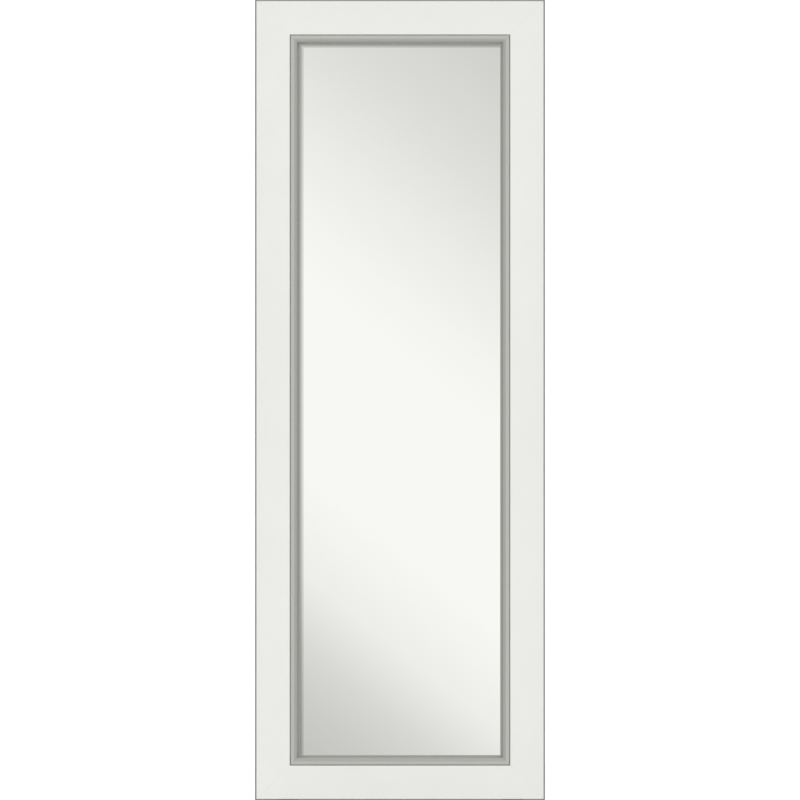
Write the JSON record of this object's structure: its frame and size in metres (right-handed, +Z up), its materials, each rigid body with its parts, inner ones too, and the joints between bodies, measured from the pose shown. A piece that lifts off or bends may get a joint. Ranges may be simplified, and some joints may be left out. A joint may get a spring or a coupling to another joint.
{
  "type": "cheval floor mirror",
  "caption": "Full-length floor mirror in a wide white mitred frame with a silver inner slip, leaning back on a folding bent-tube stand hinged behind it.",
  "frame": {"origin": "on the floor, at the centre of the footprint of the mirror standing on its open stand", "axes": "+Z up, -Y towards the person looking in the mirror, +X to that person's right"},
  "size_m": [0.4906, 0.2822, 1.347],
  "materials": {
    "white_moulding": "satin",
    "silver_slip": "satin",
    "mirror": "polished",
    "card": "matte",
    "hardboard": "matte",
    "zinc": "satin",
    "powder_coat": "satin",
    "rubber": "matte",
    "nylon": "matte"
  },
  "bodies": {
    "mirror": {"top_rail": "white_moulding", "bottom_rail": "white_moulding", "left_stile": "white_moulding", "right_stile": "white_moulding", "top_slip": "silver_slip", "bottom_slip": "silver_slip", "left_slip": "silver_slip", "right_slip": "silver_slip", "mirror_glass": "mirror", "card_spacer": "card", "backing_board": "hardboard", "backing_clips": "zinc", "clip_screws": "zinc", "corner_v_nails": "zinc", "corner_plates": "zinc", "corner_plate_screws": "zinc", "left_hanger_strap": "zinc", "right_hanger_strap": "zinc", "hanger_screws": "zinc", "left_foot_pad": "rubber", "right_foot_pad": "rubber", "foot_pad_screws": "zinc", "left_hinge_bracket": "zinc", "right_hinge_bracket": "zinc", "bracket_screws": "zinc", "left_pivot_bolt": "zinc", "right_pivot_bolt": "zinc", "pivot_washers": "nylon", "pivot_nuts": "zinc"},
    "stand": {"stand_tube": "powder_coat", "left_tube_plug": "rubber", "right_tube_plug": "rubber", "left_stand_sleeve": "rubber", "right_stand_sleeve": "rubber"},
    "left_ring": {"left_hanger_ring": "zinc"},
    "right_ring": {"right_hanger_ring": "zinc"}
  },
  "joints": [
    {"name": "stand_fold", "type": "hinge", "parent": "mirror", "child": "stand", "pos_m": [0, 0.02239, 0.89215], "axis": [1, 0, 0], "range_deg": [-15, 0]},
    {"name": "left_ring_swing", "type": "hinge", "parent": "mirror", "child": "left_ring", "pos_m": [-0.2153, 0.03258, 1.05229], "axis": [1, 0, 0], "range_deg": [-7, 170]},
    {"name": "right_ring_swing", "type": "hinge", "parent": "mirror", "child": "right_ring", "pos_m": [0.2153, 0.03258, 1.05229], "axis": [1, 0, 0], "range_deg": [-7, 170]}
  ]
}
